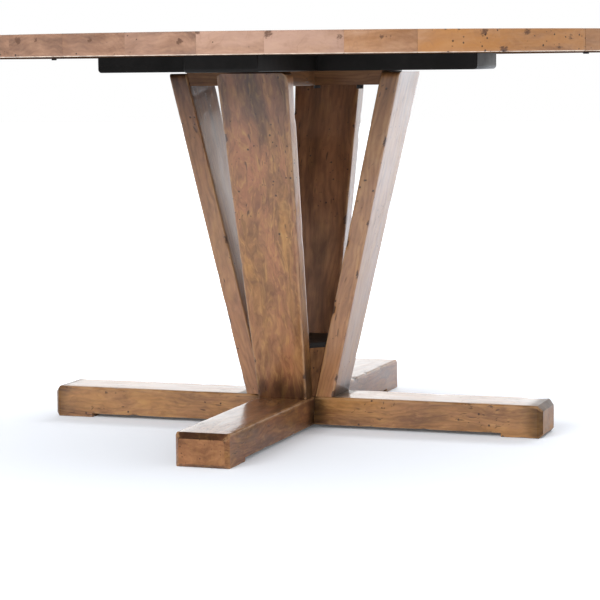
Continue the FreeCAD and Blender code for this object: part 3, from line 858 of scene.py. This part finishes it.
def makeLeg(name, number):
    footZ, topZ, foot, top = legSizes()
    leg = {key: values[number] for key, values in legSet["each"].items()}
    turn = Matrix.Rotation(math.radians(leg["turn"]), 3, "Z")
    offset = cutFrom(random.Random(legSet["seed"] + leg["turn"]), legSet["cutFrom"])
    curve, soft = legSet["topRound"], legSet["edgeRound"]
    rise = topZ - curve - footZ
    heights = [footZ + rise * step / legSet["heightSteps"] for step in range(legSet["heightSteps"] + 1)]
    for step in range(1, legSet["topSteps"] + 1):
        heights.append(topZ - curve + curve * math.sin(math.radians(90 * step / legSet["topSteps"])))
    board = startBoard()
    starts = []
    for z in heights:
        above = z - footZ
        inner, outer, half = (a + (b - a) * (above / (topZ - footZ)) for a, b in zip(foot, top))
        over = max(0.0, z - topZ + curve)
        half -= curve - math.sqrt(max(0.0, curve * curve - over * over))
        middle = (inner + outer) / 2
        # Painted shade at the foot and under the top
        shade = leg["shade"] - leg["footPaintedShade"] * fadeOut(above, legSet["footPaintedShadeRise"])
        shade -= leg["topPaintedShade"] * fadeOut(topZ - z, leg["topPaintedShadeDrop"])
        swell = fadeOut(z - legSet["burlHeight"], legSet["burlReach"])
        burl = leg["burl"] * (legSet["burlLeast"] + (1 - legSet["burlLeast"]) * swell)
        # Painted light high on the front leg's right side and painted shade low on it, and painted shade low
        # on the outer face
        onSide = fadeOut(above, legSet["sidePaintedShadeRise"])
        sideLightShadeLift = leg["sidePaintedLight"] * (1 - onSide) - leg["sidePaintedShade"] * onSide
        outShadeLift = -leg["outPaintedShade"] * fadeOut(above, legSet["outPaintedShadeRise"])
        starts.append(len(board["points"]))
        ring = roundedLoop((inner, -half), (outer, half), soft, soft, legSet["steps"], legSet["roundSteps"])
        for x, y, edge in ring:
            bare = Vector((x, y, z))
            outward = Vector((x - middle, y, 0)).normalized()
            point = bare - outward * wearAt(bare, legSet, edge, offset.x)
            paintedLift = sideLightShadeLift if y > half - tiny else 0.0
            paintedLift += outShadeLift if x > outer - tiny else 0.0
            place = (z + offset.x, y + offset.y, x - middle + offset.z)
            keep(board, turn @ point, place, boardEdge=edge, boardTone=leg["tone"],
                 boardShade=shade + paintedLift, boardBurl=burl,
                 boardStain=edge * legSet["nickStain"] * nickAt(bare, offset.x))
    count = starts[1] - starts[0]
    for first, second in zip(starts, starts[1:]):
        bridge(board, count, first, second)
    board["faces"].append(tuple(range(count))[::-1])
    board["faces"].append(tuple(range(starts[-1], starts[-1] + count)))
    finishBoard("worn_" + name, name, board, (legWood,))


for number, legName in enumerate(legNames):
    makeLeg(legName, number)
print("legs shaped")

# Foot beams, half-lapped into a cross, their undersides relieved between the end pads
beamNames = ("foot_beam_side", "foot_beam_front")
footSet = {
    "each": {    # in the order of the names
        "turn": (0, 90),
        "tone": (0.4, -0.15),
        "shade": (-0.2, -1.5),
        "fade": (-0.8, 0.0),
        # painted shade at the side beam's ends, lighter at the front beam's ends
        "endPaintedShade": (-2.9, 0.6),
        "capShade": (-0.8, 0.0),
        # painted shade on the front end's chamfer, and on the side beam's top beside the legs' feet
        "chamferPaintedShade": (0.0, -2.8),
        "legPaintedShade": (3.6, 0.0),
    },
    # how far the painted shade reaches from the ends, then the painted shade in the lapped corner and beside
    # the legs' feet
    "endPaintedShadeReach": 0.034,
    "lapPaintedShade": 3.4,
    "lapPaintedShadeReach": 0.026,
    "legPaintedShadeAt": 0.096,
    "legPaintedShadeReach": 0.016,
    "burl": 0.45,
    "capBurl": 0.12,
    "capRings": (0.96, 0.85, 0.7, 0.5, 0.3, 0.1),
    "washers": ("leg_bolt_washers", "core_bolt_washer"),
    "washerGap": 0.03,
    "boreGap": 0.001,
    "boreSteps": 32,
    "topRound": 0.0036,
    "lowRound": 0.0018,
    "cornerShare": 0.9,
    "heel": 0.006,
    "steps": (8, 12),
    "roundSteps": 4,
    "endStations": (0, 0.001, 0.0025, 0.0045, 0.007, 0.0085, 0.010, 0.0112, 0.016),
    "stationGap": 0.009,
    "wave": 0.0004,
    "dent": 0.0034,
    "nickStain": 2.2,
    "cutFrom": ((0, 40), (-0.03, 0.03), (0.0, 0.04)),
    "seed": 21,
}


def footSizes():
    # Read off the side beam: its end, where the end chamfers stop, the pads and the relief between them
    low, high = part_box("foot_beam_side")
    places = [vertex.co for vertex in nodes["foot_beam_side"].data.vertices]
    atEnd = [place for place in places if place.x > high.x - tiny]
    padInner = min(abs(place.x) for place in places if place.z < low.z + tiny)
    return {"end": high.x, "half": high.y, "height": high.z, "padInner": padInner,
            "endChamfer": high.z - max(place.z for place in atEnd),
            "cornerChamfer": high.y - max(place.y for place in atEnd),
            "relief": min(place.z for place in places if abs(place.x) < padInner - tiny)}


def footStations(size):
    # Close together where the shape changes, evenly spaced elsewhere
    end, pad, lap = size["end"], size["padInner"], size["half"]
    marks = {end - step for step in footSet["endStations"]}
    marks |= {pad, pad - tiny, lap, lap + tiny, 0.0}
    for first, last in ((end - footSet["endStations"][-1], pad), (pad - tiny, lap + tiny)):
        count = math.ceil((first - last) / footSet["stationGap"])
        marks |= {first + (last - first) * step / count for step in range(1, count)}
    return sorted(marks | {-mark for mark in marks})


def faceWay(across, up):
    # Straight out of a side of the beam, or between two sides at a corner
    most = footSet["cornerShare"] * max(abs(across), abs(up))
    return Vector((0, across if abs(across) > most else 0, up if abs(up) > most else 0)).normalized()


def capEnd(board, start, count, isFar, shade):
    # A sawn end, filled with smaller and smaller rings so that its finish spreads evenly
    border = board["points"][start:start + count]
    places = [Vector(place) for place in board["places"][start:start + count]]
    tone = board["marks"]["boardTone"][start]
    centre = sum(border, Vector()) / count
    placeCentre = sum(places, Vector()) / count
    last = start
    for share in footSet["capRings"]:
        first = len(board["points"])
        for point, place in zip(border, places):
            keep(board, centre.lerp(point, share), placeCentre.lerp(place, share), boardEnd=1.0,
                 boardShade=shade, boardTone=tone, boardBurl=footSet["capBurl"])
        bridge(board, count, *((last, first) if isFar else (first, last)))
        last = first
    inside = tuple(range(last, last + count))
    board["faces"].append(inside if isFar else inside[::-1])


def boltPlaces():
    # The middle and radius of each washer, and the height of its upper face
    groups = []
    for name in footSet["washers"]:
        for vertex in nodes[name].data.vertices:
            near = [group for group in groups if (group[0] - vertex.co).length < footSet["washerGap"]]
            if near:
                near[0].append(vertex.co)
            else:
                groups.append([vertex.co])
    places = []
    for group in groups:
        low, high = ([pick(place[axis] for place in group) for axis in range(3)] for pick in (min, max))
        places.append(((low[0] + high[0]) / 2, (low[1] + high[1]) / 2, high[2], (high[0] - low[0]) / 2))
    return places


def boreHoles(piece):
    # Bores from below for the bolt heads, cut for good into the mesh
    form = bmesh.new()
    for x, y, top, radius in boltPlaces():
        reach = radius + footSet["boreGap"]
        bmesh.ops.create_cone(form, cap_ends=True, segments=footSet["boreSteps"], depth=2 * top,
                              radius1=reach, radius2=reach, matrix=Matrix.Translation((x, y, 0)))
    drillMesh = bpy.data.meshes.new("drill")
    form.to_mesh(drillMesh)
    form.free()
    drill = bpy.data.objects.new("drill", drillMesh)
    scene.collection.objects.link(drill)
    bore = piece.modifiers.new("bore", "BOOLEAN")
    bore.object = drill
    bored = bpy.data.meshes.new_from_object(piece.evaluated_get(bpy.context.evaluated_depsgraph_get()))
    piece.modifiers.clear()
    piece.data = bored
    bored.set_sharp_from_angle(angle=sharpAngle)
    bpy.data.objects.remove(drill)


def makeFoot(name, number):
    size = footSizes()
    beam = {key: values[number] for key, values in footSet["each"].items()}
    turn = Matrix.Rotation(math.radians(beam["turn"]), 3, "Z")
    offset = cutFrom(random.Random(footSet["seed"] + beam["turn"]), footSet["cutFrom"])
    board = startBoard()
    starts = []
    for along in footStations(size):
        toEnd = size["end"] - abs(along)
        half = size["half"] - max(0.0, size["cornerChamfer"] - toEnd)
        top = size["height"] - max(0.0, size["endChamfer"] - toEnd)
        bottom = max(0.0, footSet["heel"] - toEnd) if abs(along) >= size["padInner"] else size["relief"]
        if abs(along) <= size["half"] and name == "foot_beam_side":
            top = size["height"] / 2
        elif abs(along) <= size["half"]:
            bottom = size["height"] / 2
        shade = beam["shade"] + beam["fade"] * along
        # Painted shade towards the ends, in the lapped corner, and on the top beside the legs' feet
        shade += beam["endPaintedShade"] * fadeOut(toEnd, footSet["endPaintedShadeReach"])
        shade -= footSet["lapPaintedShade"] * fadeOut(abs(along) - size["half"], footSet["lapPaintedShadeReach"])
        besideLegShade = beam["legPaintedShade"] * fadeOut(abs(along) - footSet["legPaintedShadeAt"], footSet["legPaintedShadeReach"])
        starts.append(len(board["points"]))
        ring = roundedLoop((-half, bottom), (half, top), footSet["lowRound"], footSet["topRound"],
                           footSet["steps"], footSet["roundSteps"])
        for across, up, edge in ring:
            bare = Vector((along, across, up))
            outward = faceWay(across / half, (2 * up - bottom - top) / (top - bottom))
            point = bare - outward * wearAt(turn @ bare, footSet, edge, offset.x)
            # Painted shade on the front end's chamfer and on the top beside the legs' feet
            onChamfer = toEnd < size["endChamfer"] + tiny and up > top - footSet["topRound"]
            paintedLift = beam["chamferPaintedShade"] if onChamfer else 0.0
            paintedLift -= besideLegShade if up > top - tiny else 0.0
            place = (along + offset.x, across + offset.y, up + offset.z)
            keep(board, turn @ point, place, boardEdge=edge, boardTone=beam["tone"],
                 boardShade=shade + paintedLift, boardBurl=footSet["burl"],
                 boardEnd=1.0 if toEnd < tiny else 0.0,
                 boardStain=edge * footSet["nickStain"] * nickAt(turn @ bare, offset.x))
    count = starts[1] - starts[0]
    for first, second in zip(starts, starts[1:]):
        bridge(board, count, first, second)
    for start, isFar in ((starts[0], False), (starts[-1], True)):
        capEnd(board, start, count, isFar, beam["capShade"])
    for index, face in enumerate(board["faces"]):
        # Sawn ends and the sides of the front arm are duller than the rest
        places = [Vector(board["places"][corner]) - offset for corner in face]
        along, across, up = sum(places, Vector()) / len(face)
        atEnd = abs(along) > size["end"] - size["endChamfer"]
        atSide = abs(across) > size["half"] - footSet["topRound"]
        if atEnd or (atSide and along < 0 and name == "foot_beam_front"):
            board["dull"].append(index)
    boreHoles(finishBoard("worn_" + name, name, board, (footWood, dullWood)))


for number, beamName in enumerate(beamNames):
    makeFoot(beamName, number)
print("foot cross shaped")

# Stage: a pale floor that stays white for the camera and keeps the table's shadow
stageSet = {
    "floorSize": 40.0,
    "floorColour": (0.80, 0.84, 0.90, 1.0),
    "nearLift": 0.05,
    "farLift": 0.8,
    "liftCentre": (0.0, -0.25, 0.0),
    "liftFrom": 0.55,
    "liftTo": 1.4,
    "worldLight": 0.90,
    "frontGloss": 0.25,
    "glossSpan": (-0.35, 0.25),
    "backWay": (-0.30, 0.95, 0.10),
}


def makeFloor():
    mesh = bpy.data.meshes.new("floor")
    half = stageSet["floorSize"] / 2
    corners = [(-half, -half, 0), (half, -half, 0), (half, half, 0), (-half, half, 0)]
    mesh.from_pydata(corners, [], [(0, 1, 2, 3)])
    floor = bpy.data.objects.new("floor", mesh)
    scene.collection.objects.link(floor)
    material, tree = startMaterial("paleFloor")
    sockets = {0: addNode(tree, "TexCoord").outputs["Object"], 1: stageSet["liftCentre"]}
    distance = addNode(tree, "VectorMath", sockets, operation="DISTANCE").outputs["Value"]
    span = [stageSet[key] for key in ("liftFrom", "liftTo", "nearLift", "farLift")]
    seen = addNode(tree, "LightPath").outputs["Is Camera Ray"]
    glow = addNode(tree, "Emission", {"Strength": times(tree, remap(tree, distance, *span), seen)})
    paint = addNode(tree, "BsdfDiffuse", {"Color": stageSet["floorColour"]})
    endMaterial(tree, addNode(tree, "AddShader", {0: paint.outputs[0], 1: glow.outputs[0]}))
    mesh.materials.append(material)


def makeWorld():
    world = bpy.data.worlds.new("studio")
    scene.world = world
    world.use_nodes = True
    tree = world.node_tree
    tree.nodes.clear()
    path = addNode(tree, "LightPath").outputs
    sockets = {0: addNode(tree, "TexCoord").outputs["Generated"], 1: stageSet["backWay"]}
    facing = addNode(tree, "VectorMath", sockets, operation="DOT_PRODUCT").outputs["Value"]
    # Gloss shows the white backdrop behind the table and a dim room in front of it
    gloss = remap(tree, facing, *stageSet["glossSpan"], stageSet["frontGloss"], 1.0)
    strength = mixValue(tree, path["Is Glossy Ray"], stageSet["worldLight"], gloss)
    clear = maths(tree, "MAXIMUM", path["Is Camera Ray"], path["Is Transmission Ray"])
    strength = mixValue(tree, clear, strength, 1.0)
    light = addNode(tree, "Background", {"Color": (1, 1, 1, 1), "Strength": strength})
    output = addNode(tree, "OutputWorld")
    tree.links.new(light.outputs[0], output.inputs[0])


softboxes = {
    "keySoftbox": dict(place=(-0.9, -3.7, 2.3), aim=(0, 0, 0.3), size=(2.4, 2.0), power=120),
    "frontSoftbox": dict(place=(1.4, -4.4, 1.2), aim=(0, 0, 0.5), size=(2.0, 1.6), power=50),
    "rightSoftbox": dict(place=(4.2, 0.6, 1.0), aim=(0, 0, 0.3), size=(1.6, 2.4), power=28),
    "backSoftbox": dict(place=(0.4, 5.0, 0.58), aim=(0.4, 0, 0.58), size=(9.0, 1.16), power=33,
                        mirrored=True),
    "backdropLamp": dict(place=(0.6, 3.8, 3.2), aim=(0.6, 3.4, 0), size=(5.0, 2.0), power=190),
}


def addSoftbox(name, place, aim, size, power, mirrored=False):
    lamp = bpy.data.lights.new(name, "AREA")
    lamp.shape = "RECTANGLE"
    lamp.size, lamp.size_y = size
    lamp.energy = power
    box = bpy.data.objects.new(name, lamp)
    box.location = place
    box.rotation_euler = (Vector(aim) - Vector(place)).to_track_quat("-Z", "Y").to_euler()
    box.visible_camera = False
    box.visible_glossy = mirrored
    scene.collection.objects.link(box)


makeFloor()
makeWorld()
for boxName, boxSet in softboxes.items():
    addSoftbox(boxName, **boxSet)
print("stage ready")

# Camera at the photograph's place: degrees round the table, metres away and high, then its aim
cameraSet = {
    "turn": 19.82,
    "distance": 4.2355,
    "height": 0.709,
    "aimTurn": 0.082,
    "tilt": 6.264,
    "roll": -0.66,
    "lens": 130.02,
    "sensor": 36.0,
}


def makeCamera():
    turn, swing, tilt, roll = (math.radians(cameraSet[key]) for key in ("turn", "aimTurn", "tilt", "roll"))
    data = bpy.data.cameras.new("camera")
    data.sensor_width = cameraSet["sensor"]
    data.lens = cameraSet["lens"]
    camera = bpy.data.objects.new("camera", data)
    place = Matrix.Rotation(turn, 3, "Z") @ Vector((0, -cameraSet["distance"], cameraSet["height"]))
    aim = Matrix.Rotation(turn - swing, 4, "Z") @ Matrix.Rotation(math.radians(90) - tilt, 4, "X")
    camera.matrix_world = Matrix.Translation(place) @ aim @ Matrix.Rotation(roll, 4, "Z")
    scene.collection.objects.link(camera)
    scene.camera = camera


makeCamera()
print("camera ready")
